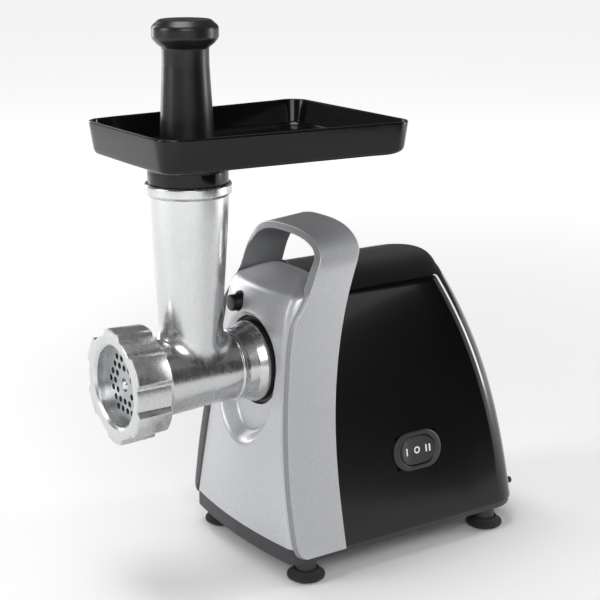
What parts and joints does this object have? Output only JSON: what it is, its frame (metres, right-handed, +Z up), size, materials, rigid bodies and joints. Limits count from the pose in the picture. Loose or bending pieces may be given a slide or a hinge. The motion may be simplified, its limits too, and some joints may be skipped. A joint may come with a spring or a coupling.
{
  "type": "electric meat grinder",
  "caption": "Free-standing electric meat grinder: screw barrel with ring nut, feed neck, tray, pusher, arched handle, side rocker switch and a geared motor inside.",
  "frame": {"origin": "on the table, midway between the feet", "axes": "+X to the machine's right seen from the front, the outlet towards -Y, +Z up"},
  "size_m": [0.1288, 0.2766, 0.3407],
  "materials": {
    "silver_plastic": "satin metallic silver paint on moulded plastic",
    "gloss_black": "high gloss",
    "satin_black": "satin",
    "dark_plastic": "fine matt texture",
    "switch_grey": "matt",
    "rubber": "matt",
    "cast_alloy": "polished casting",
    "steel": "ground",
    "zinc_steel": "zinc plated",
    "bronze": "sintered",
    "gear_plastic": "natural moulded",
    "case_plastic": "moulded",
    "laminations": "stacked laminations",
    "copper": "enamelled wire and copper bars",
    "carbon": "matt",
    "ivory_plastic": "moulded"
  },
  "bodies": {
    "housing": {"base_plate": "dark_plastic", "foot_front_right": "rubber", "foot_front_left": "rubber", "foot_rear_right": "rubber", "foot_rear_left": "rubber", "foot_screws": "zinc_steel", "front_cover": "silver_plastic", "rear_housing": "gloss_black", "handle_band": "silver_plastic", "housing_screws": "zinc_steel", "band_screws": "zinc_steel", "lock_spring": "zinc_steel", "switch_bezel": "switch_grey", "switch_body": "dark_plastic", "reset_spring": "zinc_steel", "breaker_body": "dark_plastic", "cord_grommet": "rubber", "terminal_block": "ivory_plastic", "head_socket": "satin_black", "gearbox_cover": "case_plastic", "gearbox_case": "case_plastic", "gearbox_screws": "zinc_steel", "front_bush": "bronze", "rear_bush": "bronze", "small_bushes": "bronze", "motor_bearings": "bronze", "stator_stack": "laminations", "field_coils": "copper", "motor_bracket": "case_plastic", "carbon_brushes": "carbon", "brush_springs": "zinc_steel", "motor_screws": "zinc_steel"},
    "plate": {"hole_plate": "steel"},
    "nut": {"ring_nut": "cast_alloy"},
    "head": {"grinder_head": "cast_alloy", "thrust_washer": "gear_plastic"},
    "tray": {"hopper_tray": "gloss_black"},
    "pusher": {"food_pusher": "satin_black"},
    "lock": {"lock_button": "satin_black"},
    "rocker": {"switch_rocker": "switch_grey"},
    "reset": {"reset_button": "satin_black"},
    "output": {"output_gear": "gear_plastic", "drive_coupler": "steel", "feed_screw": "cast_alloy", "screw_pin": "steel", "cutting_knife": "steel"},
    "middle": {"middle_gear": "gear_plastic", "middle_shaft": "steel"},
    "first": {"first_gear": "gear_plastic", "first_shaft": "steel"},
    "armature": {"motor_pinion": "steel", "armature_shaft": "steel", "armature_core": "laminations", "armature_winding": "copper", "commutator": "copper", "cooling_fan": "carbon"}
  },
  "joints": [
    {"name": "middle_spin", "type": "hinge", "parent": "housing", "child": "middle", "pos_m": [-0.01202, -0.045, 0.0988], "axis": [0, 1, 0], "continuous": true},
    {"name": "output_spin", "type": "hinge", "parent": "housing", "child": "output", "pos_m": [0, -0.06, 0.129], "axis": [0, 1, 0], "continuous": true},
    {"name": "first_spin", "type": "hinge", "parent": "housing", "child": "first", "pos_m": [0.00999, -0.035, 0.08149], "axis": [0, 1, 0], "continuous": true},
    {"name": "armature_spin", "type": "hinge", "parent": "housing", "child": "armature", "pos_m": [-0.00004, 0.02, 0.06057], "axis": [0, 1, 0], "continuous": true},
    {"name": "head_twist", "type": "hinge", "parent": "housing", "child": "head", "pos_m": [0, -0.075, 0.129], "axis": [0, -1, 0], "range_deg": [0, 35]},
    {"name": "plate_slide", "type": "slide", "parent": "head", "child": "plate", "axis": [0, -1, 0], "range_m": [0, 0.006]},
    {"name": "nut_turn", "type": "hinge", "parent": "plate", "child": "nut", "pos_m": [0, -0.164, 0.129], "axis": [0, -1, 0], "range_deg": [0, 720]},
    {"name": "tray_lift", "type": "slide", "parent": "head", "child": "tray", "axis": [0, 0, 1], "range_m": [0, 0.04]},
    {"name": "pusher_slide", "type": "slide", "parent": "head", "child": "pusher", "axis": [0, 0, 1], "range_m": [0, 0.15]},
    {"name": "lock_press", "type": "slide", "parent": "housing", "child": "lock", "axis": [0, 1, 0], "range_m": [0, 0.0025], "stiffness_N_per_m": 500, "springref_m": -0.004, "deforming": ["lock_spring"]},
    {"name": "rocker_tilt", "type": "hinge", "parent": "housing", "child": "rocker", "pos_m": [0.04751, 0.0125, 0.06524], "axis": [-0.1894, 0, 0.9819], "range_deg": [-10, 10]},
    {"name": "reset_press", "type": "slide", "parent": "housing", "child": "reset", "axis": [0, -1, 0], "range_m": [0, 0.0025], "stiffness_N_per_m": 400, "springref_m": -0.003, "deforming": ["reset_spring"]}
  ],
  "couplings": [
    {"joint": "output_spin", "follows": "middle_spin", "ratio": -0.3},
    {"joint": "first_spin", "follows": "middle_spin", "ratio": -3.6667},
    {"joint": "armature_spin", "follows": "middle_spin", "ratio": 17.6},
    {"joint": "plate_slide", "follows": "nut_turn", "m_per_rad": 0.00047746}
  ]
}
